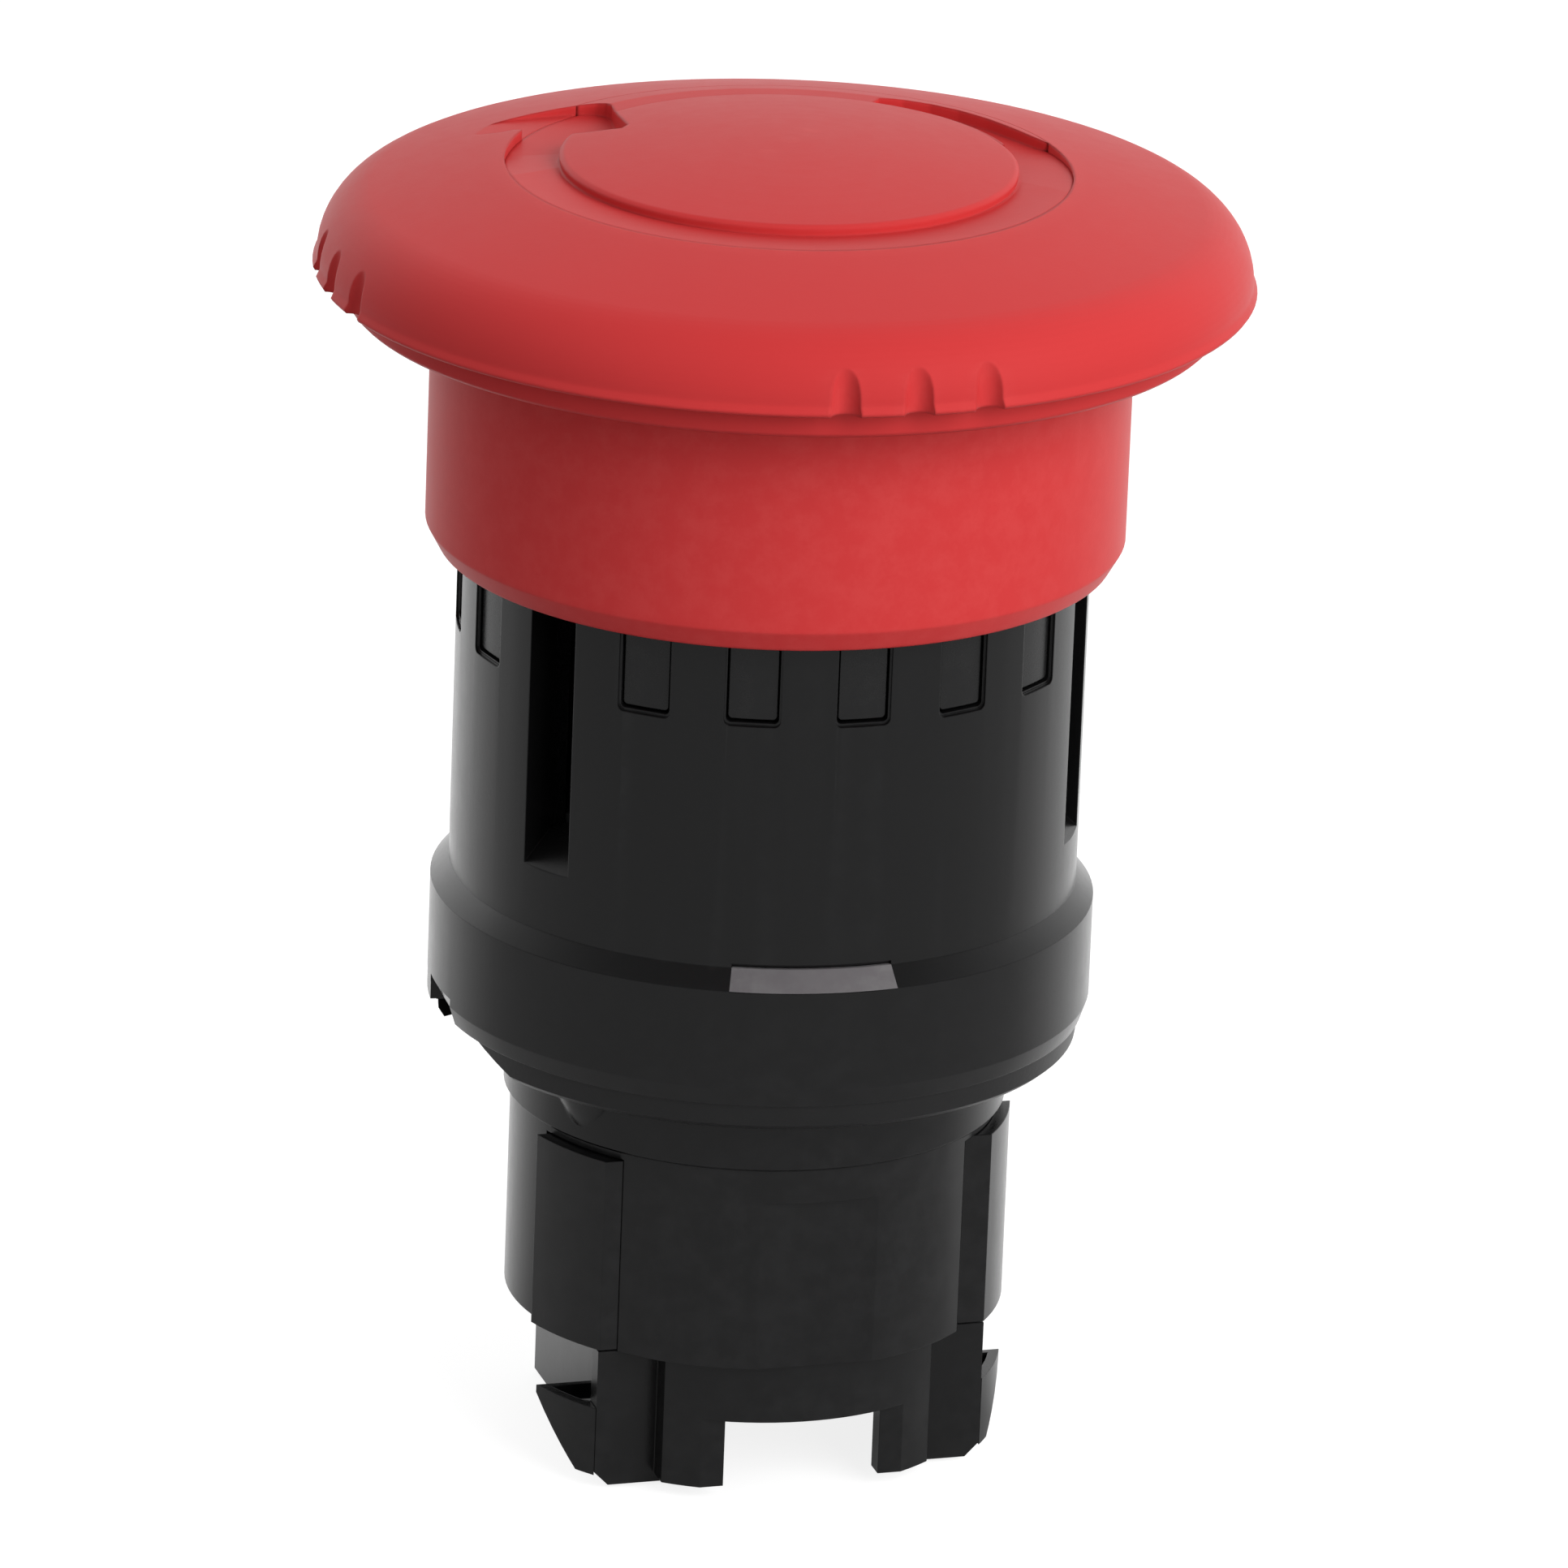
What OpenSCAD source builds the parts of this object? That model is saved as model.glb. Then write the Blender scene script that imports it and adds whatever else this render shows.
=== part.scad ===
// Emergency stop head, 22 mm series: a turn-to-release mushroom on a tall body.
// Origin on the axis, in the plane where the seal washer meets the front of the panel.
// +Z runs out of the panel towards the operator. The index mark faces -Y.

/* [Head] */
// Radius of the mushroom at its widest, above the rim
cap_r = 20.0; // [19:0.1:21]
// Height of the crown above the panel
crown_z = 39.8; // [38:0.1:42]
// Outside radius of the skirt under the mushroom
skirt_r = 15.05; // [14.8:0.05:16]
// Underside of the skirt, head out
skirt_z = 21.83; // [21:0.05:23]
// Travel of the head when it is struck
travel = 5.0; // [4:0.1:5]

/* [Body] */
// Outside radius of the body tube
tube_r = 13.6; // [13:0.05:13.65]
// Outside radius of the flange at the panel
flange_r = 14.38; // [14:0.02:15]
// Width of each indicator window
win_w = 2.42; // [2:0.02:2.8]
// Bottom of the indicator windows
win_z = 18.05; // [17.5:0.05:19]
// Width of the three long slots
slot_w = 2.6; // [2:0.05:3]
// Bottom of the long slots
slot_z = 9.95; // [9:0.05:11]

/* [Neck and barrel] */
// Radius of the neck that passes the panel hole
neck_r = 10.93; // [10.8:0.01:11]
// Radius of the barrel behind the neck
barrel_r = 10.62; // [10.4:0.01:10.8]
// Bottom of the barrel
barrel_z = -12.25; // [-13:0.05:-12]
// Radius of the side tabs and hooks
hook_r = 11.19; // [11:0.01:11.2]
// Lowest point of the legs
leg_z = -18.5; // [-19:0.1:-18]

/* [Hidden] */
$fn = 96;
eps = 0.02;
dome_r = 64;
seam_r = 12.12;
disc_r = 9.82;
rim_z = 33.86;
lip_z = 32.54;
win_az = [0, 20, 40, 80, 100, 120, 140, 160, 200, 220, 240, 260, 280, 320, 340];
slot_az = [60, 180, 300];
stem_r = 4.0;
function dome(r) = crown_z - dome_r + sqrt(dome_r * dome_r - r * r);
function pol(r, az) = [r * sin(az), -r * cos(az)];

// ---- shared shapes -------------------------------------------------------------------

module ring(r1, r0, z0, z1) {
    difference() {
        translate([0, 0, z0]) cylinder(r = r1, h = z1 - z0);
        translate([0, 0, z0 - 1]) cylinder(r = r0, h = z1 - z0 + 2);
    }
}

// Upright opening with rounded bottom corners, cut inwards from the tube at azimuth az.
module win(az, w, z0, z1, r_in, rc) {
    rotate([0, 0, az]) translate([0, -r_in, z0]) rotate([90, 0, 0]) linear_extrude(16 - r_in)
        union() {
            translate([-w / 2, rc]) square([w, z1 - z0 - rc]);
            translate([-w / 2 + rc, 0]) square([w - 2 * rc, z1 - z0]);
            translate([-w / 2 + rc, rc]) circle(r = rc, $fn = 24);
            translate([w / 2 - rc, rc]) circle(r = rc, $fn = 24);
        }
}

// Wire wound as a helix of mean radius r, closed at both ends.
module coil(r, wire, z0, z1, turns) {
    n = 24 * turns;
    k = 8;
    pts = [for (i = [0:n]) for (j = [0:k - 1])
        let(a = 360 * i / 24, b = 360 * j / k, q = r + wire / 2 * cos(b))
        [q * cos(a), q * sin(a), z0 + wire / 2 + (z1 - z0 - wire) * i / n + wire / 2 * sin(b)]];
    sides = [for (i = [0:n - 1]) for (j = [0:k - 1])
        [i * k + j, i * k + (j + 1) % k, (i + 1) * k + (j + 1) % k, (i + 1) * k + j]];
    polyhedron(points = pts, faces = concat([[for (j = [k - 1:-1:0]) j]], sides,
        [[for (j = [0:k - 1]) n * k + j]]), convexity = 10);
}

// ---- head ----------------------------------------------------------------------------

// Floor of an arrow recess: it ramps down towards the back from the line y0.
module ramp(y0, tilt) intersection() {
    translate([-20, y0, 38.66]) rotate([-tilt, 0, 0]) cube([40, 30, 5]);
    translate([-20, -20, 38.2]) cube([40, 40, 4]);
}

// Head of the left turn arrow, sunk to the same floor as its shaft.
module arrow_head() intersection() {
    translate([0, 0, 36]) linear_extrude(6) polygon([[-11.4, 7.84], [-11.62, 8.15],
        [-11.6, 8.6], [-11.35, 9.05], [-11, 9.3], [-10, 9.72], [-8.6, 10.03], [-7.3, 10.19],
        [-6.2, 10.18], [-5.65, 10.03], [-5.33, 9.72], [-5.22, 9.3], [-5.5, 7.27], [-5.68, 5.13],
        [-6.1, 4.65], [-7.6, 4.9], [-8.75, 5.3], [-9.6, 6.6], [-9.8, 7.1], [-10.1, 7.4],
        [-10.66, 7.45]]);
    ramp(0.4, 6);
}

// Three half-round grip notches at each quarter of the rim.
module grips() {
    for (q = [0, 90, 180, 270]) for (k = [-1, 0, 1]) rotate([0, 0, q + k * 8.9 - 0.5]) {
        translate([0, -cap_r - 0.25, rim_z - 1]) cylinder(r = 0.66, h = 3.2, $fn = 32);
        translate([0, -cap_r - 0.25, rim_z + 2.2]) rotate([28, 0, 0]) translate([0, 0, -0.3])
            cylinder(r = 0.66, h = 2.1, $fn = 32);
    }
}

module mushroom_cap() color("#c63b3c") difference() {
    rotate_extrude($fn = 128) polygon(concat(
        [for (i = [0:8]) let(r = seam_r + (17.5 - seam_r) * i / 8) [r, dome(r)]],
        [for (a = [72:-6:0]) [16.9 + 3.1 * cos(a), 34.31 + 3.1 * sin(a)]],
        [[20.16, rim_z + 0.12], [20.08, rim_z], [18.72, rim_z], [18.72, lip_z + 0.15],
        [18.57, lip_z], [13.95, lip_z], [13.95, 36], [seam_r, 36]]));
    grips();
    arrow_head();
}

// Centre of the dome: a raised disc in a shallow dish that ramps down into the two arrows.
module centre_plate() color("#c94041") difference() {
    union() {
        rotate_extrude($fn = 128) polygon(concat([[0, 36], [12.11, 36], [12.11, 38.63],
            [disc_r - 0.07, 38.5], [disc_r - 0.02, 38.83]],
            [for (i = [10:-1:0]) let(r = (disc_r - 0.2) * i / 10) [r, dome(r) - 0.1 * i / 10]]));
        rotate([0, 0, 4]) rotate_extrude(angle = 122, $fn = 128)
            polygon([[9.3, 38.2], [12.11, 38.2], [12.11, dome(12.11)], [10.9, dome(10.9)],
            [9.78, 38.9], [9.3, 38.7]]);
    }
    intersection() {
        rotate([0, 0, -30]) rotate_extrude(angle = 82, $fn = 128)
            translate([disc_r + 0.02, 38]) square([4, 3]);
        linear_extrude(44) polygon([[0, 0], pol(16, 60), pol(12.8, 90), pol(12.25, 95),
            pol(11.82, 101), pol(11.65, 108), pol(11.6, 116), pol(11.55, 124), pol(11.4, 131),
            pol(11.1, 137), pol(10.6, 142.5)]);
        ramp(-6.2, 3.2);
    }
    intersection() {
        rotate([0, 0, 130]) rotate_extrude(angle = 50, $fn = 128)
            translate([disc_r + 0.02, 38]) square([4, 3]);
        ramp(0.4, 6);
    }
    arrow_head();
}

module skirt() color("#bb3435") difference() {
    rotate_extrude($fn = 128) polygon([[13.95, skirt_z], [14.55, skirt_z], [skirt_r, skirt_z + 0.9],
        [skirt_r, lip_z], [13.95, lip_z]]);
    for (a = [90, 270]) rotate([0, 0, a]) translate([-1, -14.3, lip_z - 2]) cube([2, 0.6, 3]);
}

module head_hub() color("#2a2a2c") difference() {
    union() {
        translate([0, 0, 33]) cylinder(r = 13.9, h = 3);
        translate([0, 0, 27.5]) cylinder(r = 6.6, h = 5.6);
    }
    translate([0, 0, 26]) cylinder(r = stem_r + 0.05, h = 8);
    translate([0, 0, 33.5]) cylinder(r = 6.2, h = 3);
}

module twist_spring() color("#b9bcc0") coil(7.3, 0.7, 21.2, 32.95, 8);

// ---- body ----------------------------------------------------------------------------

module bezel_body() color("#1d1d1f") difference() {
    union() {
        rotate_extrude($fn = 128) polygon([[8.0, 1.2], [14.11, 1.2], [flange_r, 2.03],
            [flange_r, 6.43], [tube_r, 7.22], [tube_r, 26.8], [13.4, 27], [12.0, 27],
            [12.0, 2.6], [8.0, 2.6]]);
        rotate([0, 0, -220]) rotate_extrude(angle = 33.5, $fn = 128)
            polygon([[13.6, 1.22], [14.37, 1.22], [14.37, 2.3], [13.6, 2.3]]);
    }
    for (a = win_az) {
        win(a, win_w, win_z, 25, 13.42, 0.3);
        win(a, win_w - 0.18, win_z + 0.13, 24.8, 11, 0.22);
    }
    for (a = slot_az) rotate([0, 0, a]) {
        translate([-slot_w / 2, -15, slot_z + 1.25]) cube([slot_w, 5, 25.2 - slot_z - 1.25]);
        translate([-slot_w / 2, -tube_r - 0.02, slot_z]) rotate([38, 0, 0]) cube([slot_w, 4, 3]);
        translate([-slot_w / 2, -15, slot_z]) cube([slot_w, 1.42, 6]);
    }
    rotate([0, 0, -187]) rotate_extrude(angle = 13, $fn = 128)
        polygon([[13.65, 1.1], [14.7, 1.1], [14.7, 2.6], [14.4, 2.42]]);
    rotate([0, 0, -112]) rotate_extrude(angle = 29.2, $fn = 128)
        polygon([[13.42, 7.24], [13.7, 7.5], [14.7, 6.5], [14.385, 6.43], [14.12, 6.24]]);
}

module indicator_sleeve() color("#141415") difference() {
    union() {
        ring(11.9, 11.0, 9.7, 26);
        for (a = win_az) intersection() {
            win(a, win_w - 0.36, win_z + 0.27, 24.6, 11.4, 0.18);
            ring(13.36, 11.4, 12, 25);
        }
    }
    for (a = slot_az) rotate([0, 0, a]) translate([-slot_w / 2 - 0.2, -15, 11.2])
        cube([slot_w - 0.1, 6, 20]);
}

module index_mark() color("#656366") rotate([0, 0, -112]) rotate_extrude(angle = 29.2, $fn = 128)
    polygon([[13.42, 7.24], [13.61, 7.235], [14.385, 6.43], [14.12, 6.24]]);

module seal_washer() color("#202022") difference() {
    rotate_extrude($fn = 128) polygon([[11.2, 0], [13.62, 0], [13.86, 0.22], [13.98, 1.2],
        [11.2, 1.2]]);
    rotate([0, 0, -66]) translate([0, -20, 0.2]) rotate([0, 21, 0]) translate([-11.8, 0, -3])
        cube([11.8, 20, 3]);
}

// The collar passes the panel hole; its nub sits in the notch of the hole.
module neck_collar() color("#1d1d1f") difference() {
    union() {
        translate([0, 0, -3.02]) cylinder(r1 = neck_r - 0.12, r2 = neck_r, h = 0.12);
        translate([0, 0, -2.9]) cylinder(r = neck_r, h = 4.1);
        rotate([0, 0, -60]) translate([0, -9.75, -2.3]) cylinder(r1 = 1.2, r2 = 2.5, h = 2.3);
    }
    translate([0, 0, -4]) cylinder(r = 8.1, h = 6);
    translate([0, 0, -4]) cylinder(r = 9.35, h = 2.6);
}

module barrel() color("#1e1e20") difference() {
    ring(barrel_r, 9.35, barrel_z, -3.02);
    translate([-10, -16.04, barrel_z - 1]) cube([16, 5.75, 8.65]);
    translate([5.5, -7.75, barrel_z - 1]) cube([8, 4.8, 9.85]);
    translate([-13.5, -7.07, barrel_z - 1]) cube([8, 4.1, 9.85]);
}

module side_tabs() color("#1c1c1e") for (m = [0, 1]) mirror([m, 0, 0]) intersection() {
    ring(hook_r, 9.4, barrel_z + 0.09, -3.45);
    translate([6, -7.05, -14]) cube([8, 3.8, 14]);
}

module fixing_body() color("#1e1e20") {
    ring(9.3, 8.3, barrel_z, -2.0);
    difference() {
        intersection() {
            translate([0, 0, leg_z]) cylinder(r = 10.1, h = barrel_z - leg_z);
            translate([-7.6, -12, -20]) cube([15.2, 24, 20]);
        }
        intersection() {
            translate([0, 0, -20]) cylinder(r = 8.8, h = 20);
            translate([-6.7, -12, -20]) cube([13.4, 24, 20]);
        }
        translate([-3.5, -12, -20]) cube([7.0, 24, 5.07]);
        for (s = [-1, 1]) translate([-4.55, s * 11.52 - 2.5, -20]) cube([9.1, 5, 5.07]);
        translate([-8, -12, -20]) cube([16, 5.4, 1.9]);
        for (m = [0, 1]) mirror([m, 0, 0]) translate([6.02, -12, -20]) cube([4, 5, 7.75]);
    }
    for (m = [0, 1]) mirror([m, 0, 0]) difference() {
        translate([5.4, -7.0, leg_z]) cube([3.32, 0.95, barrel_z - leg_z]);
        translate([8.1, -8, leg_z]) rotate([0, -45, 0]) translate([0, 0, -3]) cube([3, 3, 3]);
    }
}

module bayonet_hooks() color("#1c1c1e") for (m = [0, 1]) mirror([m, 0, 0]) difference() {
    intersection() {
        ring(hook_r, 8.0, leg_z + 0.5, -14.9);
        translate([7.0, -6.98, -20]) cube([6, 3.2, 6]);
        rotate([90, 0, 90]) linear_extrude(20)
            polygon([[-7.2, -14], [-3.7, -14], [-3.7, -15.15], [-6.2, -18.05], [-7.2, -18.05]]);
    }
    difference() {
        intersection() {
            ring(hook_r - 0.45, 8.5, -16.3, -14);
            translate([7.6, -6.0, -20]) cube([6, 1.9, 8]);
        }
        translate([9.3, -5.2, -17]) rotate([0, 0, 35]) translate([-2, -0.12, 0]) cube([4, 0.24, 1.9]);
    }
    translate([7.0, -12, -20]) cube([0.62, 24, 8]);
    translate([7.0, -12, -20]) cube([1.74, 5.97, 8]);
}

// ---- mechanism -----------------------------------------------------------------------

module guide_bush() color("#3a3a3d") difference() {
    union() {
        ring(5.0, stem_r + 0.05, -9.6, 1.2);
        ring(7.95, stem_r + 0.05, 1.2, 2.6);
        ring(8.05, stem_r + 0.05, -2.0, -0.6);
    }
    translate([0, 0, 1.5]) cylinder(r = 5.1, h = 2);
}

module latch_block() color("#3a3a3d") difference() {
    ring(10.9, 9.0, 2.6, 11.5);
    for (s = [0, 180]) rotate([0, 90, s]) translate([-8, 0, 6]) cylinder(r = 1.5, h = 8);
}

module stem_seal() color("#101010") translate([0, 0, 1.98]) rotate_extrude($fn = 96)
    translate([4.62, 0]) circle(r = 0.45, $fn = 24);

module spring_seat() color("#9da0a4") ring(6.5, 4.7, 2.62, 2.95);

module plunger_stem() color("#4a4a4e") difference() {
    union() {
        translate([0, 0, -11]) cylinder(r = stem_r, h = 44.4);
        translate([0, 0, -13]) cylinder(r = 2.9, h = 2.1);
        translate([0, 0, -15]) cylinder(r = 2.6, h = 2.1);
        ring(6.7, 3.5, 19.0, 20.4);
    }
    translate([0, 0, 26]) cylinder(r = 1.45, h = 9);
    ring(5, 3.55, -10.95, -9.95);
}

module cam_cup() color("#c9a227") difference() {
    rotate_extrude($fn = 96) polygon([[6.95, 8.6], [7.7, 8.6], [7.72, 9.0], [8.7, 14.0],
        [8.7, 16], [7.9, 17], [7.9, 21], [6.75, 21], [6.75, 20.42], [6.75, 18.9], [6.95, 18.9]]);
}

module pusher_plate() color("#2b2b2d") intersection() {
    difference() {
        ring(7.9, 2.93, -12.98, -11.02);
        for (s = [0, 180]) rotate([0, 0, s]) translate([0, 5.6, -14]) cylinder(r = 0.8, h = 4);
    }
    translate([-6.4, -10, -20]) cube([12.8, 20, 20]);
}

module retaining_clip() color("#b9bcc0") difference() {
    ring(5.4, 3.6, -10.9, -10.0);
    translate([-0.9, -8, -12]) cube([1.8, 6, 4]);
}

module friction_washer() color("#d9d9d4") ring(5.8, 1.6, 33.55, 34.3);

module shoulder_screw() color("#a9acb0") difference() {
    union() {
        translate([0, 0, 26.5]) cylinder(r = 1.4, h = 8);
        translate([0, 0, 34.32]) cylinder(r = 3.3, h = 1.4);
    }
    translate([0, 0, 34.9]) cylinder(r = 1.5, h = 2, $fn = 6);
}

module return_spring() color("#b9bcc0") coil(5.85, 0.8, 2.98, 18.96, 7);

module latch_pin(s) rotate([0, 90, s]) translate([-8, 0, 8.05]) union() {
    translate([0, 0, 0.4]) cylinder(r = 1.45, h = 1.9);
    cylinder(r1 = 0.9, r2 = 1.45, h = 0.4);
}

module latch_pin_right() color("#d8b640") latch_pin(0);

module latch_pin_left() color("#d8b640") latch_pin(180);

mushroom_cap();
centre_plate();
skirt();
head_hub();
twist_spring();
bezel_body();
indicator_sleeve();
index_mark();
seal_washer();
neck_collar();
barrel();
side_tabs();
fixing_body();
bayonet_hooks();
guide_bush();
latch_block();
stem_seal();
spring_seat();
plunger_stem();
cam_cup();
pusher_plate();
retaining_clip();
friction_washer();
shoulder_screw();
return_spring();
latch_pin_right();
latch_pin_left();
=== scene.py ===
import math

import bpy
from mathutils import Matrix, Vector


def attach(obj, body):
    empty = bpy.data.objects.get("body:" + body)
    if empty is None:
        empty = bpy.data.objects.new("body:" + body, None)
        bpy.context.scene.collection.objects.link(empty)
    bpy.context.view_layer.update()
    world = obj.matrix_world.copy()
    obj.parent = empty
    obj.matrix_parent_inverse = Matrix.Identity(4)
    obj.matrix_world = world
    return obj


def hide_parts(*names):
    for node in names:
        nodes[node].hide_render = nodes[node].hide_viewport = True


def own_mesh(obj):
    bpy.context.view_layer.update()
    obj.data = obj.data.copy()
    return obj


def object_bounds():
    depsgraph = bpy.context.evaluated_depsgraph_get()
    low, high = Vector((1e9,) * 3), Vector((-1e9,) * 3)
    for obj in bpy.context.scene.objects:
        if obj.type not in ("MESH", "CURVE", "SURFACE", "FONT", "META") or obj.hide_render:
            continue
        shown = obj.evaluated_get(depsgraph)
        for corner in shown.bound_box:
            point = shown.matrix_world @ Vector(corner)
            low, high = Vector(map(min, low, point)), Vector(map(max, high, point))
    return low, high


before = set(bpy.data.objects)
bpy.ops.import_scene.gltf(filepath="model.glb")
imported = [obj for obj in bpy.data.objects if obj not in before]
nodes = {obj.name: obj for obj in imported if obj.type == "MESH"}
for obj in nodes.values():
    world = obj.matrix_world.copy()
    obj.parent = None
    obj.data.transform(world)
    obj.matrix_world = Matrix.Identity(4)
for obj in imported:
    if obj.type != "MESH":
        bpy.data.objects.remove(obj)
cad_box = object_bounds()


# ---- materials ----------------------------------------------------------------------

PATCH_SCALE = 160     # noise cells per metre: patches of about 6 mm
SCUFF_SCALE = 900     # scuffs of about 1 mm
ROUGH_SPREAD = 0.02   # how far roughness strays from its mean on plastic


def new_material(name):
    m = bpy.data.materials.new(name)
    m.use_nodes = True
    t = m.node_tree
    t.nodes.clear()
    out = t.nodes.new("ShaderNodeOutputMaterial")
    bsdf = t.nodes.new("ShaderNodeBsdfPrincipled")
    t.links.new(bsdf.outputs[0], out.inputs[0])
    return m, t, bsdf


def noise(t, coord, scale, detail=4.0, rough=0.55):
    n = t.nodes.new("ShaderNodeTexNoise")
    n.inputs["Scale"].default_value = scale
    n.inputs["Detail"].default_value = detail
    n.inputs["Roughness"].default_value = rough
    t.links.new(coord, n.inputs["Vector"])
    return n.outputs["Fac"]


def remap(t, value, a, b, lo, hi):
    n = t.nodes.new("ShaderNodeMapRange")
    for socket, v in (("From Min", a), ("From Max", b), ("To Min", lo), ("To Max", hi)):
        n.inputs[socket].default_value = v
    t.links.new(value, n.inputs["Value"])
    return n.outputs["Result"]


def mix(t, fac, a, b):
    n = t.nodes.new("ShaderNodeMix")
    n.data_type = "RGBA"
    for v, i in ((a, 6), (b, 7)):
        if isinstance(v, tuple):
            n.inputs[i].default_value = (*v, 1)
        else:
            t.links.new(v, n.inputs[i])
    t.links.new(fac, n.inputs[0])
    return n.outputs[2]


def plastic(name, base, dark, light, rough, grain=9000, bump=0.00001, wear_and_highlight=0.25,
            edge_mm=0.12, specular=0.5):
    """Moulded plastic: mottled pigment, fine spark-eroded grain, and paler edges that are partly
    rubbed wear and partly a painted highlight.
    """
    m, t, bsdf = new_material(name)
    coord = t.nodes.new("ShaderNodeTexCoord").outputs["Object"]
    broad = noise(t, coord, PATCH_SCALE, 3)
    fine = noise(t, coord, grain, 5, 0.6)
    scuff = noise(t, coord, SCUFF_SCALE, 6, 0.7)
    colour = mix(t, remap(t, broad, 0.25, 0.75, 0, 1), dark, base)
    # Paler convex edges, broken up by scuffs: partly rubbed wear, partly a painted edge
    # highlight.
    geo = t.nodes.new("ShaderNodeNewGeometry")
    edge = remap(t, geo.outputs["Pointiness"], 0.53, 0.62, 0, wear_and_highlight)
    gate = t.nodes.new("ShaderNodeMath")
    gate.operation = "MULTIPLY"
    t.links.new(edge, gate.inputs[0])
    t.links.new(remap(t, scuff, 0.42, 0.62, 0.2, 1), gate.inputs[1])
    colour = mix(t, gate.outputs[0], colour, light)
    t.links.new(colour, bsdf.inputs["Base Color"])
    t.links.new(remap(t, scuff, 0.3, 0.7, rough - ROUGH_SPREAD, rough + ROUGH_SPREAD),
                bsdf.inputs["Roughness"])
    bsdf.inputs["Specular IOR Level"].default_value = specular
    bevel = t.nodes.new("ShaderNodeBevel")
    bevel.samples = 6
    bevel.inputs["Radius"].default_value = edge_mm / 1000
    b = t.nodes.new("ShaderNodeBump")
    b.inputs["Strength"].default_value = 0.35
    b.inputs["Distance"].default_value = bump
    t.links.new(fine, b.inputs["Height"])
    t.links.new(bevel.outputs[0], b.inputs["Normal"])
    t.links.new(b.outputs[0], bsdf.inputs["Normal"])
    return m


def metal(name, base, dark, rough, stretch=(1, 1, 14)):
    """Drawn or turned metal: fine lines along one axis and dulled patches."""
    m, t, bsdf = new_material(name)
    coord = t.nodes.new("ShaderNodeTexCoord").outputs["Object"]
    mapping = t.nodes.new("ShaderNodeMapping")
    mapping.inputs["Scale"].default_value = stretch
    t.links.new(coord, mapping.inputs["Vector"])
    lines = noise(t, mapping.outputs[0], 900, 6, 0.6)
    patch = noise(t, coord, 260, 3)
    t.links.new(mix(t, remap(t, patch, 0.35, 0.65, 0, 1), dark, base), bsdf.inputs["Base Color"])
    bsdf.inputs["Metallic"].default_value = 1
    t.links.new(remap(t, lines, 0.3, 0.7, rough - 0.08, rough + 0.1), bsdf.inputs["Roughness"])
    b = t.nodes.new("ShaderNodeBump")
    b.inputs["Strength"].default_value = 0.3
    b.inputs["Distance"].default_value = 0.00002
    t.links.new(lines, b.inputs["Height"])
    t.links.new(b.outputs[0], bsdf.inputs["Normal"])
    return m


# The third colour of each plastic is its paler edge colour: rubbed wear and a painted edge
# highlight.
RED = plastic("head_red_plastic", (0.580, 0.040, 0.041), (0.572, 0.039, 0.040),
              (0.70, 0.10, 0.095), 0.45, grain=7000, wear_and_highlight=0.25, edge_mm=0.22, specular=0.11)
BLACK = plastic("body_black_plastic", (0.0046, 0.0046, 0.0048), (0.0041, 0.0041, 0.0043),
                (0.022, 0.022, 0.023), 0.25, grain=6000, wear_and_highlight=0.3, edge_mm=0.07, specular=0.42)
SLEEVE = plastic("sleeve_black_plastic", (0.0070, 0.0070, 0.0073), (0.0064, 0.0064, 0.0067),
                 (0.02, 0.02, 0.02), 0.27, grain=8000, wear_and_highlight=0.3, edge_mm=0.06, specular=0.42)
MARK = plastic("mark_grey_plastic", (0.118, 0.110, 0.116), (0.109, 0.102, 0.108),
               (0.20, 0.20, 0.20), 0.45, grain=7000, wear_and_highlight=0.4, edge_mm=0.05)
SEAL = plastic("seal_rubber", (0.0110, 0.0110, 0.0113), (0.0100, 0.0100, 0.0103),
               (0.02, 0.02, 0.02), 0.40, grain=5000, bump=0.00002, wear_and_highlight=0.2, edge_mm=0.06,
               specular=0.35)
INNER = plastic("inner_plastic", (0.045, 0.045, 0.048), (0.036, 0.036, 0.038),
                (0.08, 0.08, 0.08), 0.5, grain=5000)
WHITE = plastic("washer_white_plastic", (0.70, 0.70, 0.66), (0.62, 0.62, 0.58),
                (0.8, 0.8, 0.78), 0.45)
STEEL = metal("spring_steel", (0.52, 0.53, 0.55), (0.36, 0.37, 0.38), 0.3)
SCREW = metal("screw_steel", (0.45, 0.46, 0.48), (0.33, 0.34, 0.36), 0.35, (1, 1, 1))
BRASS = metal("pin_brass", (0.62, 0.44, 0.13), (0.48, 0.33, 0.10), 0.3, (14, 1, 1))

MATERIALS = {
    "mushroom_cap": RED, "centre_plate": RED, "skirt": RED,
    "bezel_body": BLACK, "neck_collar": BLACK, "barrel": BLACK, "side_tabs": BLACK,
    "fixing_body": BLACK, "bayonet_hooks": BLACK, "indicator_sleeve": SLEEVE,
    "index_mark": MARK, "seal_washer": SEAL, "stem_seal": SEAL,
    "twist_spring": STEEL, "return_spring": STEEL, "spring_seat": STEEL,
    "retaining_clip": STEEL, "shoulder_screw": SCREW, "friction_washer": WHITE,
    "latch_pin_right": BRASS, "latch_pin_left": BRASS,
}
for name, obj in nodes.items():
    obj.data.materials.clear()
    obj.data.materials.append(MATERIALS.get(name, INNER))

# The return spring, squeezed between its seat and the stem's collar when the head is pressed, is
# copied to an object with its own mesh and attached to the housing.
spring = bpy.data.objects.new("return_spring_coil", nodes["return_spring"].data.copy())
spring.matrix_world = nodes["return_spring"].matrix_world.copy()
bpy.context.scene.collection.objects.link(spring)
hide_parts("return_spring")
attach(spring, "housing")
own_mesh(spring)

# ---- camera -------------------------------------------------------------------------

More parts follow.
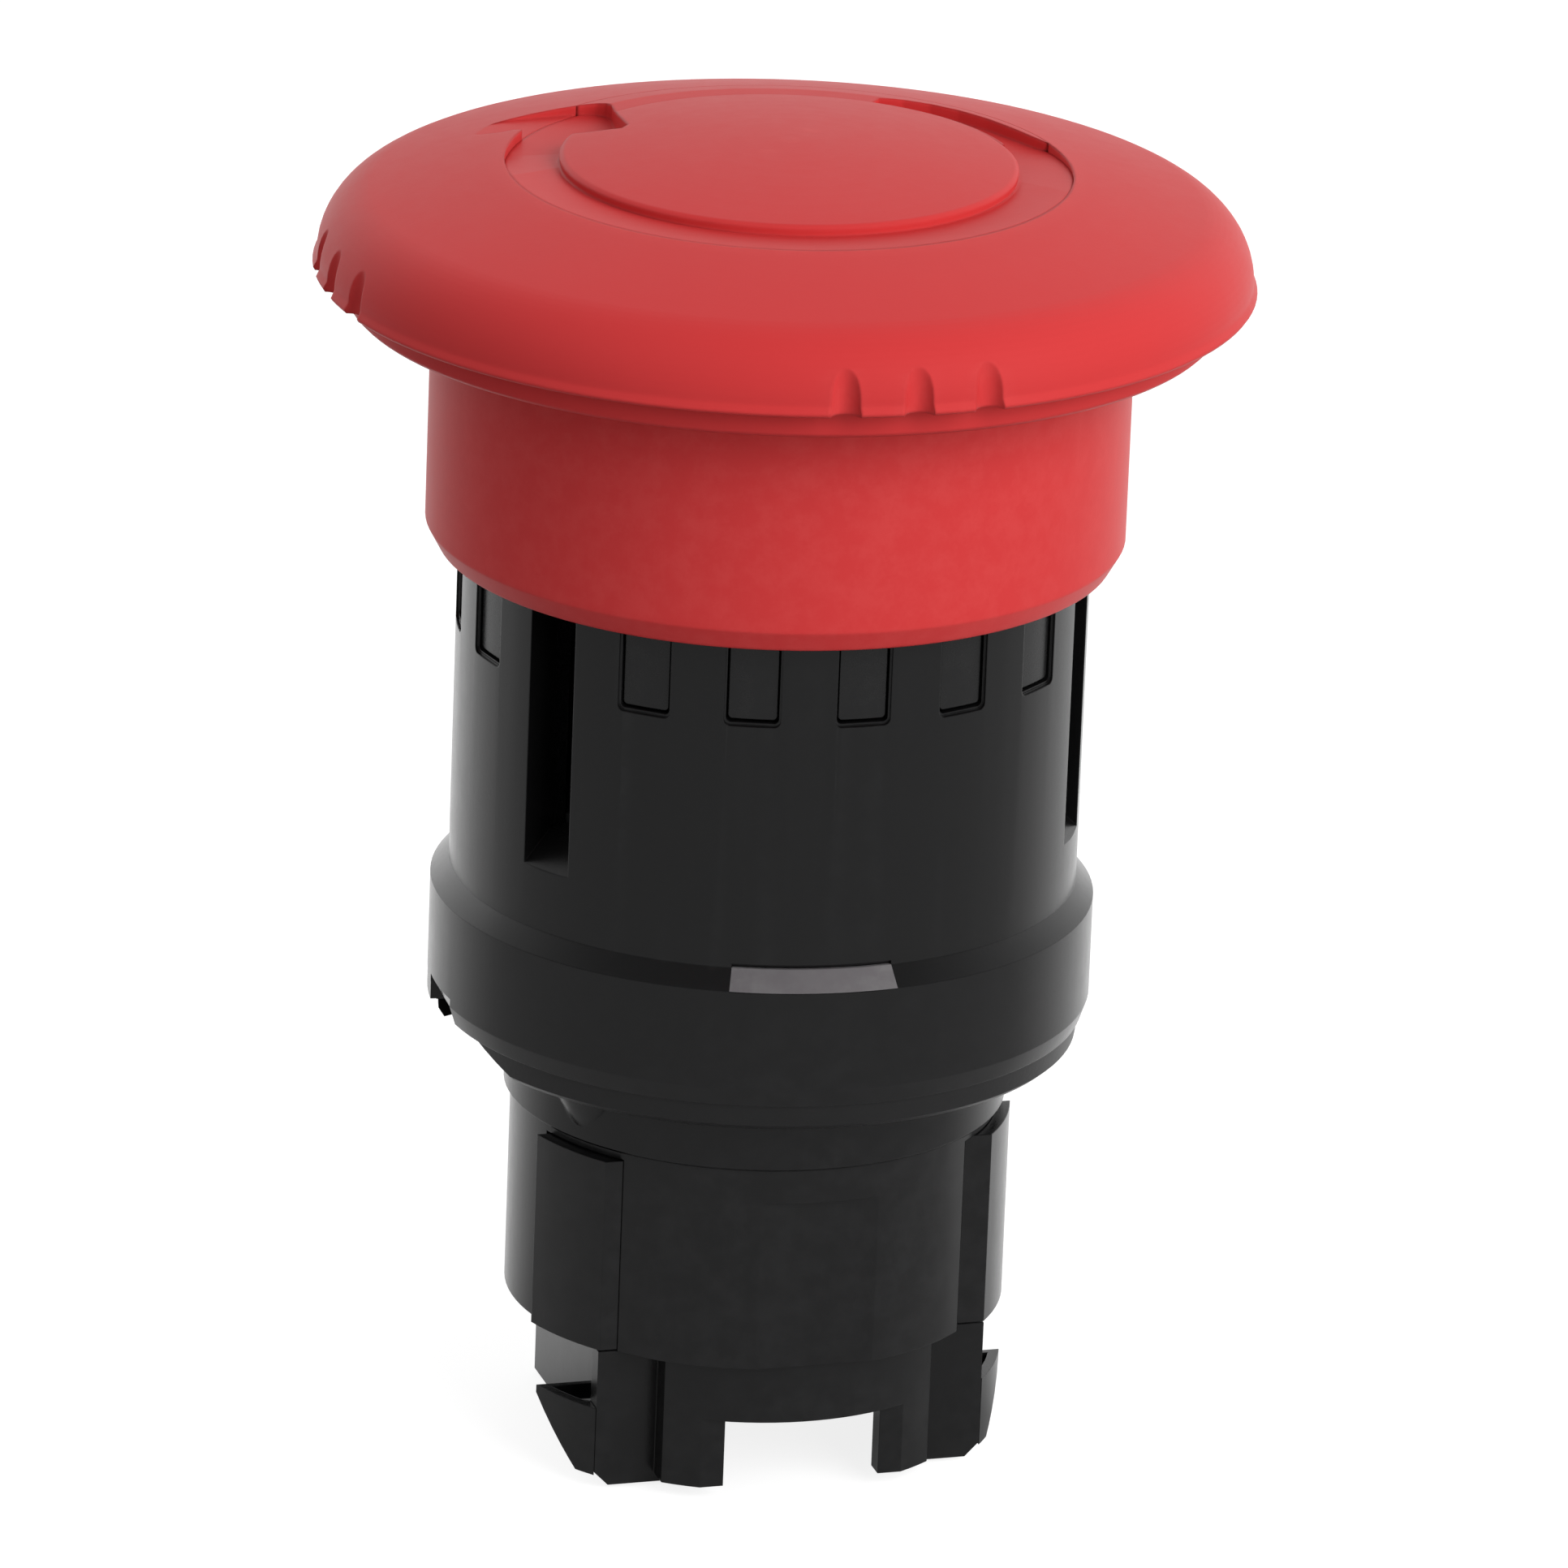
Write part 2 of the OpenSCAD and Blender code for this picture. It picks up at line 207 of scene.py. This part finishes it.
TURN = math.radians(17.3)     # left of the index mark
PITCH = math.radians(19.4)    # looking down
ROLL = math.radians(2.23)
DISTANCE = 0.557
look = Vector((math.cos(PITCH) * math.sin(TURN), math.cos(PITCH) * math.cos(TURN),
               -math.sin(PITCH)))
right = Vector((math.cos(TURN), -math.sin(TURN), 0))
up = right.cross(look)
axis_x = right * math.cos(ROLL) + up * math.sin(ROLL)
axis_y = up * math.cos(ROLL) - right * math.sin(ROLL)
target = Vector((0.0007667, -0.0002388, 0.01079))
data = bpy.data.cameras.new("camera")
data.lens = 295.7
data.sensor_width = 36
data.clip_start = 0.01
camera = bpy.data.objects.new("camera", data)
basis = Matrix((axis_x, axis_y, -look)).transposed().to_4x4()
camera.matrix_world = Matrix.Translation(target - look * DISTANCE) @ basis
bpy.context.scene.collection.objects.link(camera)
bpy.context.scene.camera = camera


# ---- stage --------------------------------------------------------------------------

FLOOR_HALF = 3.0        # half the floor's side
FLOOR_GAP = 0.0002      # the floor is this far under the feet
# The way the camera looks, level with the floor
BEHIND = Vector((look.x, look.y, 0)).normalized()


def pale(name, value, glow):
    """Matt white that glows for the camera, and in reflections of what is behind the object."""
    m, t, bsdf = new_material(name)
    bsdf.inputs["Base Color"].default_value = (value, value, value, 1)
    bsdf.inputs["Roughness"].default_value = 0.9
    bsdf.inputs["Specular IOR Level"].default_value = 0.0
    bsdf.inputs["Emission Color"].default_value = (1, 1, 1, 1)
    # The floor is white to the eye and in reflections behind the object, and it throws
    # little light up under the object or back from the viewer's side.
    path = t.nodes.new("ShaderNodeLightPath")
    unit = t.nodes.new("ShaderNodeVectorMath")
    unit.operation = "NORMALIZE"
    t.links.new(t.nodes.new("ShaderNodeTexCoord").outputs["Object"], unit.inputs[0])
    behind = t.nodes.new("ShaderNodeVectorMath")
    behind.operation = "DOT_PRODUCT"
    behind.inputs[1].default_value = BEHIND
    t.links.new(unit.outputs[0], behind.inputs[0])
    gloss = t.nodes.new("ShaderNodeMath")
    gloss.operation = "MULTIPLY"
    t.links.new(path.outputs["Is Glossy Ray"], gloss.inputs[0])
    t.links.new(remap(t, behind.outputs["Value"], 0.05, 0.9, 0.17, 1.0), gloss.inputs[1])
    total = t.nodes.new("ShaderNodeMath")
    total.operation = "ADD"
    t.links.new(remap(t, path.outputs["Is Camera Ray"], 0, 1, 0, glow), total.inputs[0])
    t.links.new(gloss.outputs[0], total.inputs[1])
    t.links.new(total.outputs[0], bsdf.inputs["Emission Strength"])
    return m


mesh = bpy.data.meshes.new("floor")
corners = [(x * FLOOR_HALF, y * FLOOR_HALF, 0) for x, y in ((-1, -1), (1, -1), (1, 1), (-1, 1))]
mesh.from_pydata(corners, [], [(0, 1, 2, 3)])
floor = bpy.data.objects.new("floor", mesh)
floor.location = (0, 0, cad_box[0][2] - FLOOR_GAP)
floor.data.materials.append(pale("floor_paint", 0.32, 0.84))
bpy.context.scene.collection.objects.link(floor)


# ---- light --------------------------------------------------------------------------

LAMP_DISTANCE = 0.9


def area(name, direction, size, power):
    """Soft panel that faces the object from a direction given along right, back and up."""
    d = (right * direction[0] + right.cross(Vector((0, 0, 1))) * -direction[1]
         + Vector((0, 0, 1)) * direction[2]).normalized()
    lamp = bpy.data.lights.new(name, "AREA")
    lamp.shape = "RECTANGLE"
    lamp.size, lamp.size_y = size
    lamp.energy = power
    o = bpy.data.objects.new(name, lamp)
    o.location = Vector((0, 0, 0.01)) + d * LAMP_DISTANCE
    o.rotation_euler = (-d).to_track_quat("-Z", "Y").to_euler()
    bpy.context.scene.collection.objects.link(o)
    return o


# Reflections don't show the two front lamps, which would be patches in the glossy black.
area("key_front_right", (0.78, -0.72, 0.50), (0.8, 0.8), 9.5).visible_glossy = False
area("fill_left", (-0.9, -0.6, 0.80), (0.9, 0.9), 1.5).visible_glossy = False
area("rim_left", (-1.0, 1.3, 0.10), (0.7, 1.1), 1.2)
area("rim_right", (1.0, 1.3, 0.10), (0.7, 1.1), 0.4)

# The room is white behind the object and dimmer on the viewer's side.
world = bpy.data.worlds.new("studio")
world.use_nodes = True
wt = world.node_tree
sky = wt.nodes["Background"]
sky.inputs[0].default_value = (1, 1, 1, 1)
dot = wt.nodes.new("ShaderNodeVectorMath")
dot.operation = "DOT_PRODUCT"
dot.inputs[1].default_value = BEHIND
wt.links.new(wt.nodes.new("ShaderNodeTexCoord").outputs["Generated"], dot.inputs[0])
wt.links.new(remap(wt, dot.outputs["Value"], -0.15, 0.7, 0.20, 1.0), sky.inputs[1])
bpy.context.scene.world = world
bpy.context.scene.view_settings.view_transform = "Standard"
